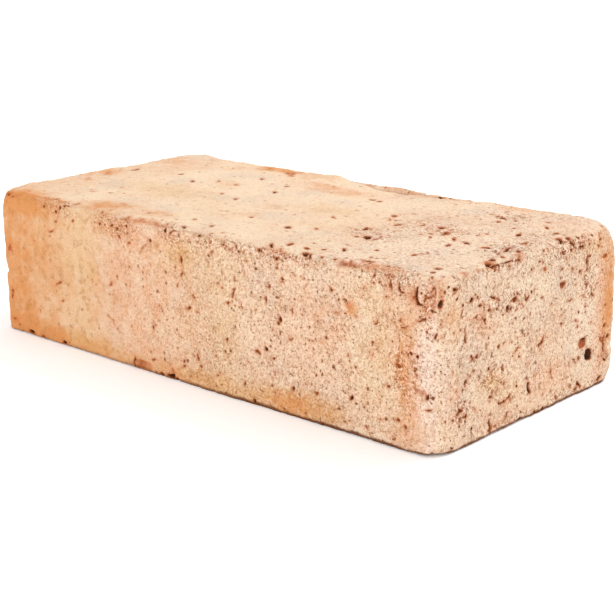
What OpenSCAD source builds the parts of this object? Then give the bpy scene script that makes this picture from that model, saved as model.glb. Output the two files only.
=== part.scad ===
// Solid common clay brick, fired in one piece, lying on its bed.
// X runs along the length, Y across the width and Z up.
// The origin is the centre of the lower bed, and sizes are millimetres.

/* [Body] */
// Length between the two end faces
brick_length = 250; // [200:1:300]
// Width between the two long faces
brick_width = 120; // [90:1:150]
// Height between the two beds
brick_height = 65; // [50:1:90]

/* [Arrises] */
// Radius of the four upright arrises, as the die leaves them
upright_r = 5; // [3:0.5:10]
// Radius of the arrises round both beds, where the cut clay is rubbed off
bed_r = 2; // [1:0.5:4]

/* [Corners] */
// How far in the wear at the top right back corner reaches along the arrises
worn_corner_leg = 13; // [6:1:18]
// How far in the chip at the bottom right back corner reaches
chipped_corner_leg = 9; // [5:1:14]
// How far in the torn corner at the top right front reaches
torn_corner_leg = 8; // [5:1:12]
// How far in the two left front corners are rubbed
rubbed_corner_leg = 7; // [5:1:12]

/* [Chips] */
// Length of the long spall on the front lower arris
spall_length = 13; // [6:1:20]
// Depth of that spall, measured from the rounded arris
spall_depth = 1.4; // [0.6:0.2:3]
// Where that spall lies, from the left end face
spall_from_left = 97; // [60:1:106]
// Length of the deep nick to the right of the spall
nick_length = 6; // [4:0.5:10]
// Depth of that nick, measured from the rounded arris
nick_depth = 1.8; // [0.6:0.2:3]
// Where that nick lies, from the left end face
nick_from_left = 116; // [114:1:140]
// Length of the two chips on the right end's lower arris
end_chip_length = 5.5; // [3:0.5:9]
// Depth of those two chips
end_chip_depth = 1; // [0.4:0.2:2]
// Length of the chip on the left front upright arris
upright_chip_length = 6; // [4:0.5:10]
// Depth of that chip
upright_chip_depth = 1.6; // [0.6:0.2:3]

/* [Stone holes] */
// Radius of the deep round hole in the right end face
deep_hole_r = 2.4; // [1:0.2:4]
// Radius of the shallow hole beside it, at its mouth
shallow_hole_r = 2.6; // [1:0.2:4]
// Radius of the slanting straw slot
slot_r = 1.1; // [0.5:0.1:2]
// Length of the straw slot between the centres of its ends
slot_run = 3.2; // [1:0.2:6]

/* [Hidden] */
$fn = 48;

fired_clay = [0.90, 0.74, 0.60];
half_length = brick_length / 2;
half_width = brick_width / 2;

// Where the chips lie: from the front face, from the back face and above the floor.
near_end_chip_from_front = 32;
far_end_chip_from_back = 27.5;
upright_chip_height = 28;

// Where the holes lie in the right end face: [distance from the back face, height].
deep_hole_at = [22, 15.5];
shallow_hole_at = [27, 21];
slot_at = [55.5, 27.5];
slot_tilt = 60; // degrees above the horizontal
shallow_hole_depth = 1.7;

// Degrees between the vertical and the normal of a corner's cut.
corner_tilt = 52;

// A rectangle a by b about the origin, with round corners of radius r.
module rounded_outline(a, b, r) {
  square([a - 2 * r, b], center = true);
  square([a, b - 2 * r], center = true);
  for (x = [-1, 1], y = [-1, 1])
    translate([x * (a / 2 - r), y * (b / 2 - r)])
      circle(r);
}

// The plan, the side and the end outline, each carried through the block, meet in the body.
module body() {
  translate([0, 0, brick_height / 2])
    intersection() {
      linear_extrude(brick_height, center = true)
        rounded_outline(brick_length, brick_width, upright_r);
      rotate([90, 0, 0])
        linear_extrude(brick_width, center = true)
          rounded_outline(brick_length, brick_height, bed_r);
      rotate([90, 0, 90])
        linear_extrude(brick_length, center = true)
          rounded_outline(brick_width, brick_height, bed_r);
    }
}

// All that lies beyond a slanting plane that meets the three arrises of a corner about leg away.
// x, y and z are -1 or 1 and name the corner.
module corner_cut(x, y, z, leg) {
  reach = 3 * leg;
  translate([x * half_length, y * half_width, z > 0 ? brick_height : 0])
    rotate([0, z > 0 ? corner_tilt : 180 - corner_tilt, atan2(y, x)])
      translate([-reach / 2, -reach / 2, -leg / sqrt(3)])
        cube(reach);
}

// A shell-shaped bite out of an arris of radius r that runs along X through the origin.
// The clay lies on the side of +Y and +Z.
module arris_bite(bite_length, depth, r) {
  ball_r = (pow(bite_length, 2) / 4 + pow(depth, 2)) / (2 * depth);
  rounded_off = r * (sqrt(2) - 1);
  translate([0, 1, 1] / sqrt(2) * (depth + rounded_off - ball_r))
    sphere(ball_r);
}

module front_lower_chips() {
  translate([spall_from_left - half_length, -half_width, 0])
    arris_bite(spall_length, spall_depth, bed_r);
  translate([nick_from_left - half_length, -half_width, 0])
    arris_bite(nick_length, nick_depth, bed_r);
}

module right_end_chips() {
  near_y = near_end_chip_from_front - half_width;
  far_y = half_width - far_end_chip_from_back;
  for (y = [near_y, far_y])
    translate([half_length, y, 0])
      rotate([0, 0, 90])
        arris_bite(end_chip_length, end_chip_depth, bed_r);
}

module left_upright_chip() {
  translate([-half_length, -half_width, upright_chip_height])
    rotate([0, -90, -90])
      arris_bite(upright_chip_length, upright_chip_depth, upright_r);
}

// Puts a tool at its place in the right end face, and proud of it by lift.
module on_right_end(place, lift = 0) {
  translate([half_length + lift, half_width - place[0], place[1]])
    children();
}

// The shallow hole is the cap of a ball that has the asked radius where it meets the face.
module stone_holes() {
  cap_r = (pow(shallow_hole_r, 2) + pow(shallow_hole_depth, 2)) / (2 * shallow_hole_depth);
  on_right_end(deep_hole_at)
    sphere(deep_hole_r);
  on_right_end(shallow_hole_at, cap_r - shallow_hole_depth)
    sphere(cap_r);
}

module straw_slot() {
  on_right_end(slot_at)
    rotate([slot_tilt, 0, 0]) {
      rotate([90, 0, 0])
        cylinder(h = slot_run, r = slot_r, center = true);
      for (side = [-1, 1])
        translate([0, side * slot_run / 2, 0])
          sphere(slot_r);
    }
}

module brick() {
  color(fired_clay)
    difference() {
      body();
      corner_cut(1, 1, 1, worn_corner_leg);
      corner_cut(1, 1, -1, chipped_corner_leg);
      corner_cut(1, -1, 1, torn_corner_leg);
      corner_cut(-1, -1, 1, rubbed_corner_leg);
      corner_cut(-1, -1, -1, rubbed_corner_leg);
      front_lower_chips();
      right_end_chips();
      left_upright_chip();
      stone_holes();
      straw_slot();
    }
}

brick();
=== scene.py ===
"""A solid common clay brick: fired in one piece, matt, sandy and pitted, with worn arrises.

Lengths in this file are millimetres until a mesh is written, because a brick's marks are easier to judge
in them. The six sides of the brick are front, right, back, left, top and bottom. A place on a side is
(across, up), measured from the corner that is at the left and the bottom when one looks squarely at it.
"""
import math
from itertools import product

import bpy
import numpy as np
from mathutils import Matrix, Vector


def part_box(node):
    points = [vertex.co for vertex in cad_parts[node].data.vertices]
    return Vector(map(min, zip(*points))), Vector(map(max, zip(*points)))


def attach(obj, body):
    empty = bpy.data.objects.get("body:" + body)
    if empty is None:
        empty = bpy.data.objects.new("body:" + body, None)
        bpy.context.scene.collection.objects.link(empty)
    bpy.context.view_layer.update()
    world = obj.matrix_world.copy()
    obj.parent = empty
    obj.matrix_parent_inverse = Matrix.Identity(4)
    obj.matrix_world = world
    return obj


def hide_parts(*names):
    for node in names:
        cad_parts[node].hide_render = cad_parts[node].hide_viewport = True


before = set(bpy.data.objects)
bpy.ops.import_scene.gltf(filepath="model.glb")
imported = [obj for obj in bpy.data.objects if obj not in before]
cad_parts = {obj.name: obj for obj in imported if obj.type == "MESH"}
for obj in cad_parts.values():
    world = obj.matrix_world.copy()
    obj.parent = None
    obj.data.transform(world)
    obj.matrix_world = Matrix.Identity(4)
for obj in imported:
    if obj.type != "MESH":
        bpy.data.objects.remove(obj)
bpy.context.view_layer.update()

MM = 0.001
low, high = (np.array(corner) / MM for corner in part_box("brick"))
size = high - low
middle = (low + high) / 2
half = size / 2
length, width, height = size

GRID_STEP = 0.52          # distance between the skin's grid points before thinning
MOST_TRIANGLES = 190_000  # the skin is thinned to this many
UPRIGHT_R = 5.0           # radius of the four upright arrises
BED_R = 2.2               # radius of the arrises round the upper bed
FOOT_R = 1.0              # radius of the crisper arrises round the lower bed
WEAR_REACH = 2.4          # how far from an arris the rubbing of it is felt
BED_SHORTER = 0.62        # the upper bed's hollows were read too long at a low angle, and are cut to this
BED_FAINTER = 0.22        # how much less half width the hollows in the upper bed's left part show
FRESH = 0.6               # a corner's new face that is rougher than this is a fresh break
FAR = -9.0                # how far inside a mark a point is that is nowhere near one
TONGUE = (244.2, 59.6, 2.9, 4.6)  # the oval of clay that stands up in the torn corner of the front

X, Y, Z = np.eye(3, dtype=int)
# For each side: the directions across, up and out of it.
SIDES = {
    "front": (X, Z, -Y),
    "right": (Y, Z, X),
    "back": (-X, Z, Y),
    "left": (-Y, Z, -X),
    "top": (X, Y, Z),
    "bottom": (X, -Y, -Z),
}


# ---------------------------------------------------------------- noise

def scrambled(cells, salt):
    """A random number from 0 to 1 for each whole-number cell.

    The three cell numbers are multiplied by large odd numbers, joined by exclusive or, and mixed by shifts
    and products.
    """
    x, y, z = (cells[:, axis].astype(np.int64).astype(np.uint32) for axis in range(3))
    mixed = x * np.uint32(0x8DA6B343) ^ y * np.uint32(0xD8163841) ^ z * np.uint32(0xCB1AB31F)
    mixed = mixed ^ np.uint32(salt * 0x9E3779B1 & 0xFFFFFFFF)
    for shift, factor in ((15, 0x2C1B3C6D), (12, 0x297A2D39)):
        mixed = (mixed ^ (mixed >> np.uint32(shift))) * np.uint32(factor)
    return (mixed ^ (mixed >> np.uint32(15))) / 2.0 ** 32


# Noise is read in axes turned away from the brick's own, so that no row of its cells lies along a side.
TURNS = [Matrix.Rotation(angle, 3, axis) for angle, axis in ((0.7, "X"), (0.9, "Y"), (0.4, "Z"))]
ASKEW = np.array(TURNS[0] @ TURNS[1] @ TURNS[2])


def lumps(points, lump, salt):
    """Smooth noise from -1 to 1 whose lumps are about as wide as lump, a number or one for each axis.

    Each point mixes the random numbers of its cell's eight corners, by the quintic 6t^5 - 15t^4 + 10t^3.
    """
    place = (points / lump) @ ASKEW.T
    cell = np.floor(place)
    share = place - cell
    share = share ** 3 * (share * (share * 6 - 15) + 10)
    total = np.zeros(len(points))
    for corner in product((0, 1), repeat=3):
        weight = np.where(corner, share, 1 - share).prod(axis=1)
        total += weight * scrambled(cell + corner, salt)
    return 2 * total - 1


def rough(points, lump, salt, octaves=3):
    """Layers of lumps, each half as wide and half as strong as the last, within about -1 and 1."""
    total = sum(lumps(points, np.divide(lump, 2 ** k), salt + k) / 2 ** k for k in range(octaves))
    return total * 0.75


def ease(value, start, end):
    """0 before start and 1 after end, or the other way if end is less, along the cubic 3t^2 - 2t^3."""
    t = np.clip((value - start) / (end - start), 0, 1)
    return t * t * (3 - 2 * t)


# ---------------------------------------------------------------- the block

def block_grid(step):
    """The sides of the block as six grids of squares, welded where they meet.

    A grid point's numbers run from -n to n by twos on each axis, so a point that two sides share has the
    same numbers on both and becomes one. Returns the points, centred on the block, and the squares, which
    face outwards.
    """
    count = np.round(size / step).astype(int)
    numbers, squares, first = [], [], 0
    for across, up, out in SIDES.values():
        n, m = int(count @ abs(across)), int(count @ abs(up))
        i, j = np.meshgrid(np.arange(n + 1), np.arange(m + 1), indexing="ij")
        i, j = i.reshape(-1, 1), j.reshape(-1, 1)
        numbers.append((2 * i - n) * across + (2 * j - m) * up + count * out)
        corner = (np.arange(n)[:, None] * (m + 1) + np.arange(m)[None, :]).reshape(-1) + first
        squares.append(np.stack([corner, corner + m + 1, corner + m + 2, corner + 1], axis=1))
        first += (n + 1) * (m + 1)
    numbers, index = np.unique(np.vstack(numbers), axis=0, return_inverse=True)
    return numbers / count * half, index.reshape(-1)[np.vstack(squares)]


def rounded(flat):
    """The block's points with every arris rounded, and the direction out of the clay at each.

    In plan, the square at each corner is drawn in to a quarter disc: a point keeps its direction from the
    disc's centre, and its distance becomes the larger of its two offsets. The same is then done in the
    upright plane, between the distance out from the inset outline and the height.
    """
    sign = np.where(flat < 0, -1.0, 1.0)
    point = abs(flat)
    offset = np.maximum(point[:, :2] - (half[:2] - UPRIGHT_R), 0)
    reach = offset.max(axis=1)
    distance = np.maximum(np.hypot(*offset.T), 1e-9)
    plan = offset / distance[:, None]
    point[:, :2] += plan * reach[:, None] - offset
    bed_r = np.where(flat[:, 2] < 0, FOOT_R, BED_R)
    out = np.maximum(bed_r - (UPRIGHT_R - reach), 0) * (reach > 0)
    rise = np.maximum(point[:, 2] - (half[2] - bed_r), 0)
    reach = np.maximum(out, rise)
    distance = np.maximum(np.hypot(out, rise), 1e-9)
    new_out, new_rise = out * reach / distance, rise * reach / distance
    point[:, :2] += plan * (new_out - out)[:, None]
    point[:, 2] += new_rise - rise
    direction = np.column_stack([plan * new_out[:, None], new_rise])
    direction /= np.linalg.norm(direction, axis=1)[:, None]
    return point * sign, direction * sign


def on_side(flat, name):
    """Where each point of the block lies on a side, as (across, up)."""
    across, up, _ = SIDES[name]
    return flat @ across + half @ abs(across), flat @ up + half @ abs(up)


# ---------------------------------------------------------------- marks in the skin

def from_middle(across, up, a, u, long, wide, turn=0):
    """How far each point is from an oval's middle, counted in half axes, so that it is 1 on the rim.

    The middle is at a across and u up, long and wide are the half axes, and the turn is in degrees.
    """
    cosine, sine = math.cos(math.radians(turn)), math.sin(math.radians(turn))
    da, du = across - a, up - u
    return np.hypot((cosine * da + sine * du) / long, (cosine * du - sine * da) / wide)


def ovals(across, up, marks):
    """How far each point is inside the nearest oval, in millimetres, and the depth of the hollow there.

    A mark is (across, up, half length, half width, turn in degrees, depth). A point r half axes from the
    middle is (1 - r) times the half width inside. The depth falls from middle to rim as an eased step.
    """
    inside = np.full(len(across), FAR)
    depth = np.zeros(len(across))
    for a, u, long, wide, turn, deep in marks:
        near = np.flatnonzero((abs(across - a) < long + 4) & (abs(up - u) < long + 4))
        r = from_middle(across[near], up[near], a, u, long, wide, turn)
        inside[near] = np.maximum(inside[near], (1 - r) * wide)
        depth[near] = np.maximum(depth[near], deep * ease(r, 1.15, 0.45))
    return inside, depth


def lines(across, up, marks):
    """The same for cracks and grooves: a mark is (half width, depth, [points along it])."""
    inside = np.full(len(across), FAR)
    depth = np.zeros(len(across))
    for wide, deep, path in marks:
        path = np.array(path, float)
        margin = wide + 4
        near = np.flatnonzero((across > path[:, 0].min() - margin) & (across < path[:, 0].max() + margin)
                              & (up > path[:, 1].min() - margin) & (up < path[:, 1].max() + margin))
        place = np.column_stack([across[near], up[near]])
        closest = np.full(len(near), 99.0)
        for start, end in zip(path[:-1], path[1:]):
            run = end - start
            share = np.clip((place - start) @ run / (run @ run), 0, 1)
            closest = np.minimum(closest, np.linalg.norm(place - start - share[:, None] * run, axis=1))
        inside[near] = np.maximum(inside[near], wide - closest)
        depth[near] = np.maximum(depth[near], deep * ease(closest / wide, 1.3, 0.3))
    return inside, depth


def strewn(points, cell, salt, share, thick, run, drag=None):
    """How far each point is inside the nearest of many grains strewn through the clay, in millimetres.

    Space is cut into cubes as wide as cell, and a share of the cubes hold one grain each: a rod with round
    ends, at a random place in its cube, in a random direction, with a random radius between the two of
    thick, and up to run long. A drag, a direction, turns the rods most of the way towards itself. A point's
    eight nearest cubes are searched.
    """
    inside = np.full(len(points), FAR)
    first = np.floor(points / cell - 0.5)
    for corner in product((0, 1), repeat=3):
        cube = first + corner
        random = [scrambled(cube, salt + k) for k in range(8)]
        near = np.flatnonzero(random[0] < share)
        random = np.stack(random, axis=1)[near]
        centre = (cube[near] + random[:, 1:4]) * cell
        lift, angle = 2 * random[:, 4] - 1, math.tau * random[:, 5]
        level = np.sqrt(1 - lift ** 2)
        direction = np.column_stack([level * np.cos(angle), level * np.sin(angle), lift])
        if drag is not None:
            direction = 0.5 * direction + drag
            direction /= np.linalg.norm(direction, axis=1)[:, None]
        radius = thick[0] + (thick[1] - thick[0]) * random[:, 6] ** 2
        reach = run / 2 * random[:, 7] ** 2
        away = points[near] - centre
        along = np.clip((away * direction).sum(axis=1), -reach, reach)
        distance = np.linalg.norm(away - along[:, None] * direction, axis=1)
        inside[near] = np.maximum(inside[near], radius - distance)
    return inside


# Hollows that grit and straw left, side by side: (across, up, half length, half width, turn, depth).
HOLLOWS = {
    "front": [
        (7.5, 16, 1.2, 0.6, 80, 0.5), (8, 18.5, 1, 0.5, 60, 0.4), (8, 39, 1.4, 0.5, 85, 0.2),
        (8.5, 5.5, 1.4, 0.4, 10, 0.2), (12, 63, 1.4, 0.4, 20, 0.3), (20, 1.5, 2.2, 1.1, 0, 1.2),
        (29, 1, 1.5, 0.8, 0, 0.7), (44, 1, 1.8, 0.9, 0, 1.2), (43.5, 56, 1, 0.6, 0, 0.5),
        (40, 51.5, 1.6, 0.4, 15, 0.35), (43, 28.5, 2.2, 0.5, 30, 0.45), (45, 21, 1.4, 0.4, 20, 0.3),
        (55.5, 58, 0.9, 0.6, 0, 0.4), (50.5, 64.5, 2.4, 0.5, 10, 0.8), (78.5, 34, 1.6, 0.5, 30, 0.4),
        (91, 54, 0.7, 0.5, 0, 0.5), (91.5, 2.5, 2.6, 1, 90, 1.5), (104.5, 57, 0.7, 0.6, 0, 0.9),
        (103.5, 6.5, 0.9, 0.6, 40, 0.6), (104.5, 20.5, 1.2, 0.5, 80, 0.6),
        (106.5, 21.5, 0.6, 0.5, 0, 0.6), (114, 1.5, 2.5, 1.3, 0, 1.5), (115, 4, 1.2, 0.4, 90, 0.8),
        (122, 52, 1.6, 0.6, 100, 1), (122.5, 46, 0.9, 0.6, 80, 0.9), (122, 9.5, 0.8, 0.6, 20, 0.8),
        (122.5, 7.5, 0.8, 0.5, 0, 0.8), (126, 32.5, 1.3, 0.7, 30, 0.7), (129, 38, 0.9, 0.6, 80, 0.5),
        (130.5, 13, 1.4, 0.6, 90, 0.5), (132, 9, 0.7, 0.5, 0, 0.6), (141.5, 7.5, 0.7, 0.5, 0, 0.8),
        (142.5, 45.5, 0.6, 0.4, 0, 0.7), (145, 44, 0.6, 0.4, 0, 0.6), (147.5, 23.5, 0.6, 0.4, 0, 0.6),
        (148.5, 38.5, 0.9, 0.5, 0, 0.5), (149.5, 60, 0.6, 0.5, 0, 0.7), (152.5, 48.5, 0.6, 0.4, 0, 0.6),
        (156.5, 8, 0.8, 0.5, 90, 0.8), (161.5, 1.5, 1.2, 0.7, 90, 0.9), (163.5, 22, 1.2, 0.6, 0, 0.5),
        (168.5, 43.5, 1.2, 0.5, 90, 0.6), (170, 48.5, 0.7, 0.4, 0, 0.7), (172, 21, 0.8, 0.5, 0, 0.8),
        (176.5, 53, 0.9, 0.6, 20, 0.9), (181.5, 42, 0.8, 0.4, 90, 0.5), (181.5, 11.5, 0.7, 0.5, 0, 0.8),
        (193.5, 12, 0.8, 0.5, 0, 0.5), (205, 26.5, 0.5, 0.4, 0, 0.6), (208, 50.5, 0.8, 0.4, 150, 0.7),
        (208.5, 46, 0.6, 0.4, 0, 0.7), (209.5, 30.5, 0.5, 0.4, 0, 0.6), (210.5, 14, 1.2, 0.9, 80, 1.2),
        (217, 57, 0.9, 0.4, 50, 0.8), (218, 5, 0.6, 0.5, 0, 0.8), (221, 38, 0.7, 0.5, 0, 0.9),
        (222, 45, 0.8, 0.5, 30, 0.7), (224.5, 9.5, 0.7, 0.5, 0, 0.5), (228, 22.5, 0.6, 0.5, 0, 0.8),
        (231, 26.5, 0.5, 0.4, 0, 0.6), (231.5, 3.5, 0.8, 0.5, 60, 0.6), (232, 11, 0.8, 0.5, 0, 0.6),
        (232.5, 31.5, 1.1, 0.9, 0, 0.4), (233.5, 48.5, 0.7, 0.5, 0, 0.9),
        (234.5, 45.5, 0.6, 0.5, 0, 0.8), (235.5, 9, 0.7, 0.5, 0, 0.8), (241, 56, 1.4, 0.8, 140, 1.3),
        (245.5, 22.5, 1.3, 0.8, 50, 1.1), (247, 54, 0.9, 0.5, 150, 0.9),
        (249.5, 44.5, 0.9, 0.6, 0, 0.9),
    ],
    "right": [
        (98, 15, 2.8, 2.3, -30, 2.6), (93, 20.5, 2.4, 2, 20, 0.4), (64.5, 28.5, 2, 0.9, 50, 0.7),
        (62.5, 27, 0.9, 0.7, 50, 1.2), (77, 47.5, 1.6, 1.3, 20, 0.6), (2.5, 49, 0.7, 0.5, 0, 0.5),
        (9, 44.5, 0.5, 0.4, 0, 0.7), (9.5, 58.5, 0.6, 0.4, 0, 0.7), (10, 60, 0.9, 0.5, 0, 0.9),
        (11.5, 23, 0.6, 0.5, 0, 0.5), (12, 14.5, 0.8, 0.5, 0, 0.8), (12.5, 12.5, 0.6, 0.5, 0, 0.8),
        (13, 11, 0.6, 0.4, 0, 0.6), (13.5, 15.5, 1.1, 0.8, 0, 1.1), (16, 25, 0.9, 0.6, 0, 1),
        (16, 23.5, 0.7, 0.4, 0, 0.8), (16.5, 12.5, 0.6, 0.4, 0, 0.6), (18.5, 26.5, 0.5, 0.4, 0, 0.7),
        (20.5, 32.5, 0.8, 0.6, 0, 0.6), (21, 28, 0.5, 0.4, 0, 0.5), (23, 32.5, 0.9, 0.6, -10, 1),
        (24.5, 51.5, 1.1, 0.5, 0, 0.8), (28.5, 8.5, 0.6, 0.4, 0, 0.5), (30, 48.5, 0.7, 0.6, 0, 0.9),
        (32, 4, 2.6, 0.8, 100, 1.3), (32, 15, 0.9, 0.5, 0, 0.8), (33, 16.5, 0.6, 0.4, 0, 0.7),
        (35.5, 3, 0.9, 0.7, 0, 0.7), (37.5, 11.5, 0.9, 0.5, 0, 0.9), (41, 46.5, 0.9, 0.7, 0, 1.1),
        (42, 61.5, 0.6, 0.4, 0, 0.8), (43.5, 12, 0.8, 0.6, 0, 0.9), (46, 48.5, 1.2, 0.8, 0, 0.8),
        (47, 45, 0.5, 0.4, 0, 0.7), (48, 29, 1.3, 0.6, 20, 0.4), (49.5, 26, 0.8, 0.5, -30, 0.9),
        (55, 16, 0.7, 0.5, 0, 0.8), (56, 58, 0.6, 0.5, 0, 0.5), (61, 60, 0.8, 0.5, 0, 0.8),
        (63.5, 46, 0.7, 0.5, -20, 0.9), (64, 63.5, 0.8, 0.6, 0, 0.5), (64.5, 56.5, 1.1, 1, 0, 0.3),
        (69.5, 41.5, 0.6, 0.4, 0, 0.6), (76.5, 53.5, 0.7, 0.5, 0, 0.8), (77, 35.5, 0.6, 0.3, 0, 0.5),
        (77.5, 32.5, 0.6, 0.4, -20, 0.8), (79, 57.5, 0.8, 0.4, 0, 0.4), (83, 40.5, 1.2, 0.4, 0, 0.3),
        (85, 4.5, 0.6, 0.5, 0, 0.6), (86, 46, 0.4, 0.3, 0, 0.6), (87.5, 31, 0.8, 0.4, -20, 0.9),
        (89, 28.5, 0.8, 0.6, 0, 0.5), (89, 50.5, 0.9, 0.6, 0, 1), (91, 15, 0.8, 0.6, 0, 0.5),
        (92, 4, 2.6, 0.8, -45, 1.1), (95.5, 55, 0.7, 0.5, 0, 1), (98.5, 28, 0.9, 0.5, 0, 0.4),
        (101.5, 43, 0.8, 0.5, 0, 0.4), (102, 58.5, 0.8, 0.5, 0, 0.4), (103.5, 61, 0.9, 0.6, -20, 1),
        (103.5, 63, 0.8, 0.4, 30, 0.7), (106.5, 3, 1.7, 0.8, 0, 1), (107, 53.5, 1.5, 0.8, 0, 0.35),
    ],
    "top": [
        (58, 67.5, 4.2, 1.2, 132, 1.7), (67, 75, 3, 0.8, 132, 0.4), (79, 91, 4, 0.9, 132, 0.4),
        (88, 57, 3.2, 0.9, 132, 0.6), (93, 10.5, 2.8, 1.1, 140, 1), (101, 52, 3, 1, 132, 0.8),
        (104.5, 73, 4.2, 1.1, 132, 0.8), (116, 14, 2.6, 1.1, 132, 0.8), (131, 31, 2.6, 1, 132, 1),
        (131, 9, 2.8, 1, 132, 0.9), (149, 91, 3.2, 1.3, 132, 0.9), (156, 26.5, 3.8, 1.2, 132, 1.5),
        (158, 51, 2.6, 0.7, 132, 0.5), (166, 32, 2.4, 0.7, 132, 0.5), (170, 2.5, 3, 0.8, 132, 1.1),
        (174.5, 8, 3.2, 0.9, 120, 1.1), (175, 69, 3.6, 0.9, 120, 0.4), (180.5, 44, 3.4, 1, 120, 1),
        (184, 6.5, 2, 1, 150, 0.7), (186, 57.5, 2.8, 1.3, 132, 1), (186.5, 32.5, 1.6, 0.9, 132, 1.1),
        (189.5, 9.5, 2, 1.2, 132, 0.7), (190, 34.5, 3.2, 1.6, 120, 1.4), (196.5, 13, 3.2, 1, 115, 1),
        (202.5, 64, 4.2, 1.1, 132, 1), (203, 49.5, 1.4, 0.7, 132, 0.7), (206, 20, 1.8, 0.8, 132, 0.8),
        (206, 52.5, 1.9, 0.9, 132, 1.2), (209, 48.5, 1.5, 0.7, 132, 0.8),
        (209.5, 58, 2.6, 1.3, 132, 1.5), (210.5, 55, 2.6, 1.2, 80, 1.4),
        (210.5, 94, 3.8, 1.4, 132, 1.4), (213, 87.5, 2.6, 0.8, 132, 0.6), (214, 6, 2.6, 1.4, 150, 1),
        (220.5, 24, 2.6, 1, 120, 0.8), (221.5, 43, 3.2, 1, 110, 1), (222, 28, 2.4, 1.1, 80, 0.8),
        (222.5, 66, 1.6, 0.7, 132, 0.7), (224.5, 50, 3.6, 1.2, 138, 1.5), (225, 80, 1.6, 0.9, 80, 0.5),
        (229, 98, 2, 0.9, 150, 0.7), (232.5, 73, 3.4, 1, 115, 1), (234, 49, 2.4, 1.4, 80, 0.6),
        (234, 89, 2.6, 0.9, 132, 0.9), (239, 14, 2.8, 1.3, 132, 1.3), (240.5, 9, 1.8, 0.9, 132, 1.3),
        (241.5, 63, 1.8, 0.8, 110, 0.7), (242.5, 84, 1.8, 0.8, 132, 1), (243, 45, 1.8, 0.8, 132, 1),
        (246.5, 41.5, 1.6, 0.8, 132, 1), (246.5, 52, 2, 0.8, 120, 0.9), (247, 35, 2.6, 1, 132, 1.3),
        (248.5, 30.5, 2.4, 1.1, 120, 1.2), (248.5, 77, 4.2, 1.3, 150, 1.4),
    ],
}
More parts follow.
